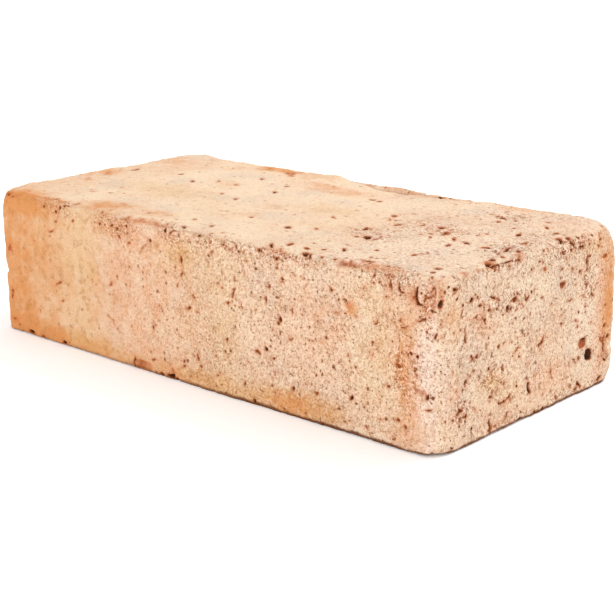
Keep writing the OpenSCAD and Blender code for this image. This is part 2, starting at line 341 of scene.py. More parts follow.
# Cracks, grooves and drag marks: (half width, depth, [places along it]).
GROOVES = {
    "front": [
        (0.1, 0.4, [(74, 20), (79, 18.5), (80.5, 16), (83, 13.5)]),
        (0.1, 0.4, [(98, 50), (100.5, 53.5), (103, 57)]),
        (0.3, 0.6, [(115.5, 60.5), (117.5, 62), (119, 63)]), (0.2, 0.6, [(119, 40), (120.5, 41.5)]),
        (0.2, 0.6, [(125.5, 3), (127, 4.5)]), (0.4, 0.8, [(152, 45), (151.5, 42.5), (151, 41)]),
        (0.2, 0.6, [(155, 41), (155.5, 39), (156, 37.5)]), (0.1, 0.4, [(171.5, 14), (173.5, 16)]),
        (0.2, 0.5, [(172.5, 62), (174, 60), (174.5, 57.5)]), (0.2, 0.7, [(180.5, 30.5), (182, 31.5)]),
        (0.1, 0.4, [(218, 30.5), (219.5, 33)]), (0.1, 0.5, [(220.5, 32), (222, 34), (224, 36)]),
        (0.4, 0.7, [(229, 61.5), (229.5, 59.5), (229, 58.5)]),
        (0.4, 0.8, [(233, 61.5), (232.5, 59.5), (233.5, 58.5), (234.5, 58.5)]),
        (0.6, 1, [(240.5, 61), (240, 58.5), (240.5, 57)]), (0.2, 0.5, [(238.5, 57.5), (240, 57.5)]),
        (0.3, 0.7, [(241, 49.5), (243, 50), (245, 50.5)]), (0.4, 1, [(242, 55), (243.5, 55.5)]),
        (0.3, 0.5, [(245, 56.5), (245.5, 58.5), (247.5, 59.5)]), (0.2, 0.5, [(247, 60.5), (248, 63)]),
        (0.3, 0.6, [(249, 59), (249.5, 61.5)]),
    ],
    "right": [
        (0.3, 0.8, [(-0.5, 45.5), (1, 44.5)]), (0.4, 0.8, [(14, 52), (13.5, 49.5)]),
        (0.1, 0.5, [(15, 47), (17.5, 48), (21, 47), (24, 46.5)]),
        (0.3, 0.8, [(15.5, 44.5), (15.5, 42), (16, 39.5)]),
        (0.1, 0.5, [(20.5, 14.5), (22, 13.5), (23.5, 12)]),
        (0.2, 0.6, [(25.5, 47), (27, 45), (28, 43.5)]), (0.2, 0.6, [(28, 37.5), (29, 34)]),
        (0.4, 1.1, [(29.5, 64.5), (31, 64), (33, 64.5)]),
        (0.4, 0.9, [(31, 53), (32.5, 52), (33.5, 51.5)]), (0.2, 0.6, [(34, 51.5), (36, 50.5)]),
        (0.4, 0.9, [(34, 64.5), (35.5, 63.5)]),
        (0.3, 0.7, [(38, 11.5), (41, 11), (43.5, 11.5), (44.5, 10)]),
        (0.3, 0.9, [(39.5, 64), (42, 63.5), (43.5, 64)]), (0.3, 0.8, [(43, 6.5), (42, 4.5), (41, 3.5)]),
        (0.2, 0.6, [(43.5, 48.5), (46, 49), (48, 47.5)]), (0.3, 0.8, [(46, 63), (48, 62.5)]),
        (0.1, 0.5, [(48, 47), (51, 45.5), (54, 43)]), (0.3, 0.7, [(51.5, 49), (53, 47), (54.5, 48.5)]),
        (0.6, 1.1, [(56.5, 13.5), (56.5, 11), (57.5, 9.5)]), (0.3, 0.8, [(71, 16), (71.5, 14)]),
        (0.2, 0.7, [(71.5, 13.5), (72.5, 11.5)]), (0.4, 1, [(73, 65), (76, 64.5)]),
        (0.3, 1, [(75.5, 48.5), (76, 46.5)]), (0.3, 0.8, [(78.5, 64.5), (80, 63.5)]),
        (0.3, 0.8, [(82, 63), (84, 61.5)]), (0.2, 0.6, [(84, 15.5), (84, 13.5)]),
        (0.3, 0.8, [(86.5, 62.5), (88.5, 62)]), (0.3, 0.9, [(87, 15.5), (88, 14.5), (89.5, 13.5)]),
        (0.3, 0.8, [(87.5, 60), (90, 59.5)]), (0.4, 1, [(92, 22.5), (94.5, 22.5), (95, 20.5)]),
        (0.1, 0.4, [(92.5, 50), (92, 47), (93, 44)]), (0.6, 1.1, [(93.5, 55), (93.5, 52.5)]),
        (0.3, 0.7, [(93.5, 52), (94, 50.5)]), (0.3, 0.7, [(93.5, 41.5), (93, 40)]),
        (0.2, 0.6, [(93.5, 38), (94, 35.5)]), (0.3, 0.6, [(97.5, 42), (98, 39.5), (100, 38.5)]),
        (0.3, 0.7, [(106.5, 19), (108, 18)]), (0.5, 1, [(109.5, 20.5), (108.5, 18)]),
        (0.6, 1.2, [(109, 17), (109.5, 14)]),
    ],
}
# Bites out of the arrises: (side, (across, up), half length, half height, half depth, how far outside the
# brick the middle is).
BITES = [
    ("front", (96.5, 2.5), 6.5, 2.3, 1.1, 0.6), ("front", (-3, 28.5), 10.4, 3.6, 7.4, 3),
    ("front", (-3, 17), 9, 3, 6, 3), ("front", (51, 65.5), 4, 1.4, 1.4, 0.8),
    ("right", (31, 65), 3.4, 2.2, 2, 1), ("right", (42, 65), 3.4, 1.8, 1.8, 1),
    ("right", (76, 65.5), 5, 1.4, 1.8, 1), ("right", (110.5, 11), 3, 2.4, 1.2, 0.6),
    ("back", (70, 65), 6, 2.2, 2.4, 1), ("back", (150, 0), 9, 3.2, 3, 1),
    ("left", (80, 65), 6, 2.6, 2.6, 1), ("left", (30, 0), 5, 2.8, 2.6, 1),
    ("back", (205, 65), 4, 2.6, 2.4, 1), ("back", (20, 0), 4, 2.4, 2.4, 1),
]
# The way the cutting wire dragged grit across the upper bed.
DRAG = np.array([math.cos(math.radians(132)), math.sin(math.radians(132)), 0])
# How far the upper bed sags along its back arris: places from the left end, and the sag there.
SAG = (
    (0, 94, 103, 110, 118, 133, 140, 150, 178, 190, 215, 232),
    (0.3, 0, -0.8, 0.8, 2.0, 3.3, 3.2, 2.2, 1.4, 0.8, 0.5, 0),
)
# Corners and upright arrises that are worn or broken away: (signs of the corner, or of an upright arris
# where the last is 0, how far in along the arrises, how soft the new edges are, how rough the new face is).
CORNERS = [
    ((1, 1, 0), 3.2, 1.0, 0.3), ((-1, -1, 0), 3.6, 1.0, 0.5), ((-1, 1, 0), 4.0, 1.2, 0.3),
    ((1, -1, 0), 3.0, 1.0, 0.3), ((1, 1, 1), 11.5, 2.1, 0.5), ((1, 1, -1), 9.0, 0.5, 0.9),
    ((1, -1, 1), 8.0, 1.0, 0.8), ((-1, -1, 1), 9.0, 1.5, 0.5), ((-1, -1, -1), 4.0, 0.6, 0.5),
    ((-1, 1, 1), 7.0, 1.0, 0.5), ((-1, 1, -1), 7.0, 0.5, 0.8), ((1, -1, -1), 7.0, 1.2, 0.5),
]
# Iron stains: (across, up, half length, half height, turn, strength).
STAINS = {
    "front": [
        (7, 30, 2, 1.4, 0, 0.5), (8, 17, 2.2, 3.8, 0, 1.3), (8.5, 39, 2.6, 2.6, 0, 1),
        (9, 5.5, 2.6, 1.6, 0, 0.9), (13, 63, 3, 2, 20, 0.6), (20, 1.5, 3, 1.6, 0, 0.8),
        (29, 1.5, 3, 1.2, 0, 0.6), (37, 62.5, 2.6, 1.4, 0, 0.7), (44, 1, 2.4, 1.2, 0, 0.6),
        (44, 56, 3, 1.2, 0, 0.5), (50.5, 64.5, 4, 1.2, 0, 0.7), (78.5, 34, 2.6, 1.2, 30, 0.5),
        (88, 57, 3, 2, 0, 0.5), (96, 2.5, 7.5, 3, 0, 1.2), (112, 34, 2, 1.8, 0, 0.4),
        (114, 1.5, 3, 2, 0, 0.9), (117, 62, 2.4, 1.4, 40, 0.8), (122.5, 49, 1.2, 5, 0, 0.4),
        (125, 32.5, 2, 1.4, 30, 0.6), (161.5, 1.5, 1.6, 1.6, 0, 0.6), (209.5, 49.5, 2.8, 2, 0, 0.9),
        (210.5, 1.5, 1.8, 2, 0, 0.7), (218.5, 3.5, 1.4, 1.6, 0, 0.7), (219.5, 63, 3.4, 1.8, 0, 1.1),
        (229, 60, 1.4, 2, 0, 0.6), (229, 63.5, 3.4, 2, 0, 1.1), (232.5, 31.5, 1.6, 1.6, 0, 0.6),
        (232.5, 59.5, 1.8, 2, 0, 0.7), (237, 34, 5, 8, 0, 0.25), (241, 57, 3.5, 3.5, 0, 1.1),
        (242, 24.5, 2.4, 1.8, 0, 0.95), (243, 50, 3, 1.4, 10, 0.6), (245.5, 22.5, 2, 1.6, 50, 0.6),
        (244, 55, 7, 6, 0, 0.85), (247.5, 22.5, 0.8, 2, 0, 0.5), (248, 60, 3, 4, 0, 0.7),
    ],
    "right": [
        (1, 60, 4, 5, 0, 0.5), (17, 2, 3, 0.7, 0, 0.8), (26, 46, 3, 2, -45, 0.4),
        (32, 4, 1.8, 3.2, 0, 1), (32, 64, 4, 1.6, 0, 1), (35, 22, 6, 1.4, 0, 0.5),
        (35.5, 3, 1.4, 1.2, 0, 0.8), (36.5, 62, 1.8, 1.4, 0, 0.8), (42, 5, 1.6, 2.4, 0, 0.5),
        (42, 63.5, 3, 1.4, 0, 0.7), (43, 11.5, 1.6, 1, 0, 0.4), (46, 48.5, 3, 1.6, 0, 0.5),
        (64, 28, 2.6, 1.4, 50, 0.6), (71, 2, 10, 0.8, 0, 1), (77.5, 47.5, 2.2, 1.8, 0, 0.6),
        (84, 64, 8, 1.2, 0, 0.5), (88.5, 50, 1.8, 1.2, 0, 0.6), (92, 4, 3.4, 1.6, -45, 0.9),
        (93, 20.5, 2.8, 2.4, 20, 0.9), (98, 39.5, 2, 2, 0, 0.4), (103, 60, 2.4, 2.4, 0, 0.3),
        (106.5, 3, 2.6, 1.2, 0, 0.9), (107, 53.5, 2, 1.2, 0, 0.5), (108, 18, 2.4, 3, 0, 1),
        (110, 12.5, 3.5, 2.4, -20, 1), (110, 33, 3, 14, 0, 0.35),
    ],
    "top": [
        (10, 58, 10, 3, 132, 0.6), (12, 44, 13, 3, 132, 0.5), (20, 4, 14, 2.4, 0, 0.5),
        (38, 26, 9, 2.4, 140, 0.5), (50, 2, 9, 2, 0, 0.4), (82, 108, 8, 3, 132, 0.9),
        (90, 96, 8, 1.6, 132, 0.3), (120, 100, 6, 2.4, 132, 0.35), (148, 91, 3.4, 2, 132, 0.7),
        (186, 7, 3, 2, 0, 0.3), (190.5, 34.5, 3, 2, 132, 0.5), (203, 64, 4.5, 1.8, 132, 0.6),
        (210.5, 57, 4, 2.4, 132, 0.6), (214, 5.5, 4, 2, 0, 0.8), (225, 3, 9, 2, 0, 0.6),
        (243, 3, 6, 3, 0, 0.5), (247, 44, 2, 4, 0, 0.5), (248, 34, 3, 6, 0, 0.8),
        (248, 77, 4, 1.6, 132, 0.6),
    ],
    "back": [
        (150, 2, 12, 4, 0, 0.9), (70, 64, 8, 3, 0, 0.7), (205, 64, 5, 3, 0, 0.7),
        (30, 30, 10, 22, 0, 0.4), (190, 20, 16, 9, 20, 0.3),
    ],
    "left": [
        (80, 64, 8, 3, 0, 0.8), (30, 2, 7, 4, 0, 0.8), (60, 30, 30, 16, 10, 0.3),
    ],
    "bottom": [
        (60, 40, 24, 14, 20, 0.3), (170, 80, 30, 12, -10, 0.3), (120, 60, 6, 4, 0, 0.4),
    ],
}
# The colours that the fire left, as bands along the front: how strong each is at these places along it.
# The pale band at the right end is partly a painted highlight on the rounded near upright arris.
HUES = ("orange", "yellow", "pink", "pale")
BANDS = {
    "place": (0, 17, 34, 45, 64, 72, 93, 121, 132, 147, 160, 200, 214, 229, 234, 240, 245, 250),
    "orange": (.85, .85, .62, .32, .24, .28, .18, .28, .16, .12, .10, .14, .14, .24, .50, .55, .30, .15),
    "yellow": (.45, .40, .45, .70, .60, .25, .12, .16, .50, .55, .20, .10, .25, .25, .10, .05, .05, .05),
    "pink": (.10, .05, .15, .20, .35, .80, .90, .80, .45, .35, .50, .60, .25, .40, .60, .65, .55, .40),
    # pale: the clay's pale tone, and at the right end a painted highlight on the near upright arris
    "pale": (.00, .00, .00, .05, .10, .10, .10, .05, .05, .05, .00, .00, .00, .00, .05, .20, .60, .90),
}
# Smaller flashes of the same colours: (across, up, half length, half height, hue, strength). The pale
# flashes at the near upright arris, on the front and the right end, are partly painted highlight.
FLASHES = {
    "front": [
        (186, 6, 22, 6, "orange", 0.45), (186, 6, 24, 7, "yellow", 0.7),
        (237, 30, 6, 20, "orange", 0.6), (247, 30, 5, 18, "pale", 0.6),
        (222, 36, 14, 26, "yellow", 0.35), (194, 38, 14, 12, "pink", 0.3),
        (211, 49, 3.4, 3, "orange", 1.0), (82, 59, 16, 6, "orange", 0.4),
        (118, 54, 14, 9, "yellow", 0.5), (22, 61, 26, 5, "orange", 0.5), (240, 8, 8, 8, "orange", 0.3),
        (66, 26, 8, 20, "pink", 0.5),
    ],
    "right": [
        (110, 34, 5, 22, "orange", 0.7), (114, 40, 5, 22, "orange", 0.4),
        (108, 56, 7, 8, "orange", 0.3), (9, 50, 7, 10, "orange", 0.45), (8, 20, 8, 16, "pink", 0.7),
        (4, 30, 4, 24, "pale", 0.7), (33, 21, 10, 6, "yellow", 0.8), (46, 13, 8, 6, "yellow", 0.6),
        (25, 46, 10, 8, "pink", 0.5), (60, 40, 14, 10, "pale", 0.5), (92, 30, 10, 14, "pale", 0.6),
        (98, 58, 8, 5, "yellow", 0.7), (75, 12, 16, 9, "pink", 0.5), (106, 32, 7, 32, "pink", 1.0),
        (20, 6, 12, 5, "pale", 0.5),
    ],
    "top": [
        (60, 45, 40, 20, "yellow", 0.5), (150, 60, 30, 12, "yellow", 0.45),
        (115, 100, 40, 12, "pink", 0.5), (226, 3, 12, 4, "orange", 0.9),
        (236, 100, 12, 16, "pink", 0.7), (30, 95, 20, 20, "pink", 0.4), (14, 6, 16, 6, "orange", 0.4),
        (26, 2, 32, 3, "orange", 0.7), (70, 112, 14, 6, "orange", 0.5),
    ],
}
# Where the skin has crumbled into many small pits: (across, up, half length, half height).
CRUMBLED = {
    "front": [
        (44, 62, 12, 4), (82, 60, 16, 6), (116, 61, 10, 4), (230, 62, 14, 4), (160, 62, 40, 3),
        (245, 52, 5, 9), (236, 30, 7, 16),
    ],
    "right": [
        (33, 64, 16, 2.4), (82, 62, 18, 5), (95, 48, 5, 12), (35, 22, 9, 5), (40, 49, 12, 5),
        (13, 14, 6, 6), (75, 2, 40, 2),
    ],
    "top": [
        (45, 2, 14, 3), (116, 2, 12, 3), (225, 3, 16, 4), (240, 60, 8, 22), (200, 62, 18, 10),
        (190, 40, 16, 10), (215, 96, 10, 6),
    ],
}


# Grains of grit and chaff that burnt or fell out of the clay: (width of the cells they lie in, salt, share
# of the cells that hold one, least and greatest radius, longest run, how far inside one it is deepest, how
# deep that is).
GRAINS = {
    "large": (15.0, 301, 0.34, (0.4, 1.5), 4.0, 0.55, 1.5),
    "small": (7.0, 321, 0.42, (0.25, 0.8), 4.5, 0.55, 0.88),
    "arris": (4.6, 341, 0.55, (0.3, 1.6), 3.5, 0.9, 1.3),
    "crumbled": (2.8, 421, 0.6, (0.25, 0.85), 2.6, 0.5, 1.0),
    "bed": (6.0, 381, 0.5, (0.3, 1.0), 8.0, 0.6, 1.1),
}


def broken_corner(point, signs, leg, softness, roughness, salt):
    """Moves what lies beyond a slanting plane at a corner back onto that plane.

    The push is softness times the logarithm of 1 + e^(beyond / softness), which rounds the new edges.
    Returns how far beyond the plane each point was, in millimetres.
    """
    corner = np.array(signs)
    slant = math.sqrt(abs(corner).sum())
    normal = corner / slant
    beyond = (point - corner * half) @ normal + leg / slant
    reach = 3 + 4 * softness
    near = np.flatnonzero(beyond > -reach)
    beyond_near = beyond[near] + roughness * rough(point[near], 5.0, salt)
    push = softness * np.logaddexp(0, beyond_near / softness)
    point[near] -= push[:, None] * normal * ease(beyond[near], -reach, -0.6 * reach)[:, None]
    beyond[near] = beyond_near
    return beyond


def bitten(point, name, place, half_length, half_rise, half_depth, outside, salt):
    """Moves what lies inside a rough ball out to the ball's skin along its radii.

    The ball is stretched along the side's directions. Returns how far inside it each point was, in
    millimetres.
    """
    across, up, out = SIDES[name]
    centre = (place[0] - half @ abs(across)) * across + (place[1] - half @ abs(up)) * up
    centre = centre + (half @ abs(out) + outside) * out
    radii = abs(across) * half_length + abs(up) * half_rise + abs(out) * (half_depth + outside)
    away = point - centre
    r = np.maximum(np.linalg.norm(away / radii, axis=1), 0.05)
    inside = np.full(len(point), FAR)
    near = np.flatnonzero(r < 1.8)
    rim = 1 + 0.22 * rough(point[near], 2.4, salt)
    inside[near] = (rim - r[near]) * min(half_length, half_rise)
    moved = r[near] < rim
    hit = near[moved]
    point[hit] = centre + away[hit] * (rim[moved] / r[hit])[:, None]
    return inside


def swelling(flat, share):
    """How far the clay swells out at each point, in millimetres.

    Wide lumps all over, and on the upper bed finer lumps, a hump at the back left corner and the sag
    along the back arris. The right part of the front is a little hollow.
    """
    x, y, _ = flat.T
    swell = 0.45 * rough(flat, 70.0, 11, 2) + 0.22 * rough(flat, 16.0, 21)
    sag = np.interp(x + half[0], *SAG) * ease(y, 10, half[1])
    hump = 1.3 * np.exp(-((x + half[0] - 16) / 6) ** 2 - ((y - half[1] + 2) / 9) ** 2)
    swell += share["top"] * (0.25 * rough(flat, 9.0, 31) + hump - sag)
    return swell - share["front"] * 0.5 * np.exp(-((x - 60) / 40) ** 2)


def rubbing(flat, to_arris):
    """How far the arrises are rubbed back at each point, in millimetres: unevenly, least at the foot."""
    worn = 0.55 + 0.75 * rough(flat, 17.0, 41) + 0.55 * np.maximum(rough(flat, 4.5, 51), 0)
    foot = ease(flat[:, 2], 12 - half[2], 3 - half[2])
    return np.exp(-(to_arris / WEAR_REACH) ** 2) * np.clip(worn, 0.05, 2.2) * (1 - 0.75 * foot)


def named_marks(flat, share, waver):
    """What the marks that have a place of their own make of each point; they are drawn a little unevenly.

    Returns how far inside a hollow it lies and how deep it is sunk, in millimetres, how stained and how
    crumbled it is, and how strong each colour of flash is there.
    """
    hollow = np.full(len(flat), FAR)
    sunk, stain, crowd = np.zeros((3, len(flat)))
    tint = {hue: np.zeros(len(flat)) for hue in HUES}
    stray = [1.6 * rough(flat, 5.0, salt) for salt in (65, 75)]
    for name in SIDES:
        on = np.flatnonzero(share[name] > 0.02)
        across, up = on_side(flat[on], name)
        across, up = across + waver[0][on], up + waver[1][on]
        ovals_here, fainter = HOLLOWS.get(name, ()), 0
        if name == "top":
            ovals_here = [(a, u, long * BED_SHORTER, *rest) for a, u, long, *rest in ovals_here]
            fainter = BED_FAINTER * ease(flat[on, 0], 60, -30)
        for marks, shape in ((ovals_here, ovals), (GROOVES.get(name, ()), lines)):
            inside, depth = shape(across, up, marks)
            inside = np.where(share[name][on] > 0.5, inside - fainter, FAR)
            hollow[on] = np.maximum(hollow[on], inside)
            sunk[on] = np.maximum(sunk[on], depth * share[name][on])
        across, up = across + stray[0][on], up + stray[1][on]
        for *oval, strength in STAINS.get(name, ()):
            shade = strength * ease(from_middle(across, up, *oval), 1.35, 0.25)
            stain[on] = np.maximum(stain[on], shade * share[name][on])
        for oval in CRUMBLED.get(name, ()):
            crumbs = ease(from_middle(across, up, *oval), 1.3, 0.5)
            crowd[on] = np.maximum(crowd[on], crumbs * share[name][on])
        for *oval, hue, strength in FLASHES.get(name, ()):
            tint[hue][on] += strength * ease(from_middle(across, up, *oval), 1.4, 0.1) * share[name][on]
    return hollow, sunk, stain, crowd, tint


def pit(point, on, kind, less, hollow, sunk, drag=None):
    """Sinks one kind of grain into the points numbered on; less makes them lie less far inside it."""
    *grain, deepest_at, depth = GRAINS[kind]
    inside = strewn(point[on], *grain, drag) - less
    hollow[on] = np.maximum(hollow[on], inside)
    sunk[on] = np.maximum(sunk[on], ease(inside, -0.3, deepest_at) * depth)


def grain_pits(flat, point, share, to_arris, waver, crowd, hollow, sunk):
    """Sinks the pits of the grit and chaff that burnt or fell out of the clay."""
    x = flat[:, 0]
    everywhere = np.arange(len(point))
    # Fewer show on the left part of the front, which is smooth.
    smooth = share["front"] * ease(x, 30, -70)
    for kind in ("large", "small"):
        pit(point, everywhere, kind, 0.25 * smooth - 0.12 * waver[0], hollow, sunk)

    arris = np.flatnonzero(to_arris < 5.5)
    sparse = 0.8 * ease(rough(flat[arris], 24.0, 351), 0.1, -0.4)
    pit(point, arris, "arris", 1.4 * ease(to_arris[arris], 1.6, 5.5) + sparse, hollow, sunk)

    crumbled = np.flatnonzero(crowd > 0.02)
    pit(point, crumbled, "crumbled", 0.9 * (1 - crowd[crumbled]), hollow, sunk)

    # The wire dragged grit out of the upper bed, and the holes crowd towards the right.
    bed = np.flatnonzero(share["top"] > 0.3)
    less = 1.0 * ease(x[bed], 70, -40) - 0.4 * waver[1][bed] + 0.25
    pit(point, bed, "bed", less, hollow, sunk, DRAG)


def kiln_colours(flat, share, tint, crowd):
    """How orange, yellow and pink the fire left each point, how coarse its skin is and how pale it is."""
    x, y, z = flat.T
    front = share["front"]
    along = x + half[0]
    along += 9 * rough(flat * (1, 1, 0.5), 22.0, 401) + 6 * rough(flat * (1, 1, 0.7), 6.0, 411)
    band = {hue: sum(np.interp(along + shift, BANDS["place"], BANDS[hue]) for shift in (-9, -3, 3, 9)) / 4
            for hue in HUES}
    hot = ease(rough(flat * (1, 1, 0.5), 55.0, 421), -0.05, 0.55)
    foot = ease(z, -half[2] + 11, -half[2] + 3) * ease(x, 90, 40) * front

    orange = front * band["orange"] + (1 - front) * (0.32 * hot + 0.6 * share["left"] * ease(y, 60, -60))
    orange += 0.35 * foot + share["right"] * 0.15 * ease(y, -38, -56) * ease(z, -20, 10)
    orange += share["top"] * 0.4 * ease(rough(flat * (0.6, 1, 1), 24.0, 461), 0.1, 0.6)
    yellow = front * band["yellow"] + (1 - front) * 0.5 * ease(rough(flat, 40.0, 431), 0, 0.6)
    yellow += 0.55 * foot
    yellow = yellow * (1 - 0.55 * share["top"] - 0.6 * share["right"])
    pink = front * band["pink"] + (1 - front) * (0.3 + 0.3 * rough(flat, 30.0, 441))
    pink = pink * (1 - 0.45 * share["top"])
    orange, yellow, pink = orange + tint["orange"], yellow + tint["yellow"], pink + tint["pink"]

    coarse = 1.15 - front * (0.15 + 0.75 * ease(x, 35, -80))
    coarse -= share["top"] * (0.35 + 0.5 * ease(x, 95, 20))
    coarse *= 1 - 0.6 * ease(orange, 0.35, 0.95)
    coarse += 0.9 * crowd
    # Pale: partly the clay's own tone, partly a painted highlight on the near arris and the upper bed's
    # right.
    pale = front * band["pale"] + 0.5 * share["top"] * ease(x, 20, 90) + tint["pale"]
    return orange, yellow, pink, coarse, pale


def brick_skin():
    """The brick's whole skin as one closed grid, and what the clay is like at each point.

    The rounded block is swelled and sagged by wide lumps, rubbed along its arrises, broken at its corners,
    bitten along its arrises, and then hollowed along the direction out of the clay by named marks and by
    strewn grains. Returns the points, the squares and nine numbers for each point: how far it lies inside a
    hollow and inside a break, in millimetres, how much iron stains it, how orange, yellow and pink it was
    fired, how coarse its skin is, how deep it was sunk, and how pale it is.
    """
    flat, squares = block_grid(GRID_STEP)
    point, out = rounded(flat)
    share = {name: ease(out @ SIDES[name][2], 0.5, 0.85) for name in SIDES}
    to_arris = np.sort(half - abs(flat), axis=1)[:, 1]
    point += out * (swelling(flat, share) - rubbing(flat, to_arris))[:, None]

    broken = np.full(len(point), FAR)
    for k, (signs, leg, softness, roughness) in enumerate(CORNERS):
        beyond = broken_corner(point, signs, leg, softness, roughness, 100 + 3 * k)
        if roughness > FRESH:
            broken = np.maximum(broken, beyond)
    for k, (name, place, *sizes) in enumerate(BITES):
        broken = np.maximum(broken, bitten(point, name, place, *sizes, 200 + 3 * k))

    waver = [0.75 * rough(flat, 2.4, salt) + 0.35 * lumps(flat, 1.1, salt + 5) for salt in (61, 71)]
    hollow, sunk, stain, crowd, tint = named_marks(flat, share, waver)
    grain_pits(flat, point, share, to_arris, waver, crowd, hollow, sunk)

    # Sandy grain, finer and flatter on the front, where the die smoothed the clay.
    grain = 0.13 * rough(flat, 3.2, 81) + 0.09 * rough(flat, 1.3, 91, 2)
    grain *= 1 + 0.7 * share["top"] + 0.4 * share["right"] + 0.6 * ease(to_arris, 8, 2)
    point += out * (grain - sunk)[:, None]

    # The tongue of clay that stands up in the torn corner.
    across, up = on_side(flat, "front")
    tongue = ease(from_middle(across, up, *TONGUE), 1.1, 0.7) * share["front"]
    point += out * (1.3 * tongue)[:, None]
    broken = np.where(tongue > 0.3, np.minimum(broken, -0.5), broken)

    # The lower bed's high points are what it stands on.
    point[:, 2] = np.maximum(point[:, 2], -half[2])

    # Iron also stains the arrises in streaks. Every stain is mottled, and little lies on the tongue.
    streaks = 0.75 * ease(to_arris, 4.0, 0.8) * ease(rough(flat, 13.0, 361), 0.05, 0.45)
    stain = np.maximum(stain, streaks * ease(flat[:, 2], 0, 20)) * (1 - 0.8 * tongue)
    stain *= np.clip(0.85 + 0.9 * rough(flat, 3.0, 451), 0, 1.4)
    orange, yellow, pink, coarse, pale = kiln_colours(flat, share, tint, crowd)
    return point + middle, squares, [hollow, broken, stain, orange, yellow, pink, coarse, sunk, pale]


def thinned(piece, most):
    """The piece with short and flat-lying edges folded away until it has at most this many triangles."""
    thinner = piece.modifiers.new("thinner", "DECIMATE")
    thinner.ratio = most / (2 * len(piece.data.polygons))
    thinner.use_collapse_triangulate = True
    lean = bpy.data.meshes.new_from_object(piece.evaluated_get(bpy.context.evaluated_depsgraph_get()))
    piece.modifiers.clear()
    piece.data = lean


def lay_out(mesh):
    """Lays the skin out flat as the brick's six sides, one under the other, the ends turned beside them.

    Each triangle goes to the side whose plane its middle is nearest to, and its corners are dropped
    squarely onto it.
    """
    gap = 3.0
    sheet = 2 * width + 2 * height + 5 * gap
    starts = {
        "top": (gap, gap),
        "bottom": (gap, width + 2 * gap),
        "front": (gap, 2 * width + 3 * gap),
        "back": (gap, 2 * width + height + 4 * gap),
        "right": (length + 2 * gap, gap),
        "left": (length + 2 * gap, width + 2 * gap),
    }
    corner = np.empty(len(mesh.loops), np.int32)
    mesh.loops.foreach_get("vertex_index", corner)
    point = np.empty(3 * len(mesh.vertices))
    mesh.vertices.foreach_get("co", point)
    point = point.reshape(-1, 3) / MM - middle
    centre = point[corner].reshape(-1, 3, 3).mean(axis=1)
    to_side = np.stack([half @ abs(out) - centre @ out for _, _, out in SIDES.values()])
    nearest = to_side.argmin(axis=0).repeat(3)
    place = np.empty((len(corner), 2))
    for k, name in enumerate(SIDES):
        mine = nearest == k
        across, up = on_side(point[corner[mine]], name)
        if name in ("right", "left"):
            across, up = up, across
        place[mine] = (np.column_stack([across, up]) + starts[name]) / sheet
    mesh.uv_layers.new(name="OFBake").data.foreach_set("uv", place.reshape(-1).astype(np.float32))


def make_brick():
    """Writes the skin into a mesh, with its nine numbers as three vector attributes.

    They are marks (hollow, break, stain), firing (orange, yellow, pink) and skin (coarse, sunk, pale).
    """
    point, squares, facts = brick_skin()
    mesh = bpy.data.meshes.new("brick_skin")
    mesh.vertices.add(len(point))
    mesh.vertices.foreach_set("co", (point * MM).reshape(-1).astype(np.float32))
    mesh.loops.add(squares.size)
    mesh.loops.foreach_set("vertex_index", squares.reshape(-1).astype(np.int32))
    mesh.polygons.add(len(squares))
    mesh.polygons.foreach_set("loop_start", np.arange(0, squares.size, 4, dtype=np.int32))
    mesh.update(calc_edges=True)
    for name, columns in (("marks", facts[:3]), ("firing", facts[3:6]), ("skin", facts[6:])):
        values = np.clip(np.column_stack(columns), -3, 3).astype(np.float32)
        mesh.attributes.new(name, "FLOAT_VECTOR", "POINT").data.foreach_set("vector", values.reshape(-1))
    brick = bpy.data.objects.new("fired_brick", mesh)
    bpy.context.scene.collection.objects.link(brick)
    thinned(brick, MOST_TRIANGLES)
    brick.data.polygons.foreach_set("use_smooth", np.ones(len(brick.data.polygons), bool))
    lay_out(brick.data)
    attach(brick, "root")
    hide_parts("brick")
    return brick


# ---------------------------------------------------------------- the finish

class Value:
    """A shader socket that takes part in sums: each operator adds the Math node that works it out."""

    def __init__(self, finish, socket):
        self.finish, self.socket = finish, socket

    def maths(self, operation, *numbers):
        return self.finish.node("Math", {"operation": operation}, dict(enumerate(numbers)))

    def __add__(self, other):
        return self.maths("ADD", self, other)

    def __sub__(self, other):
        return self.maths("SUBTRACT", self, other)

    def __rsub__(self, other):
        return self.maths("SUBTRACT", other, self)

    def __mul__(self, other):
        return self.maths("MULTIPLY", self, other)

    __radd__, __rmul__ = __add__, __mul__

    def least(self, other):
        return self.maths("MINIMUM", self, other)

    def size(self):
        return self.maths("ABSOLUTE", self)

    def ease(self, start, end):
        """0 before start and 1 after end, or the other way if end is less."""
        return self.finish.node("MapRange", {"interpolation_type": "SMOOTHSTEP"},
                                {"Value": self, "From Min": start, "From Max": end})


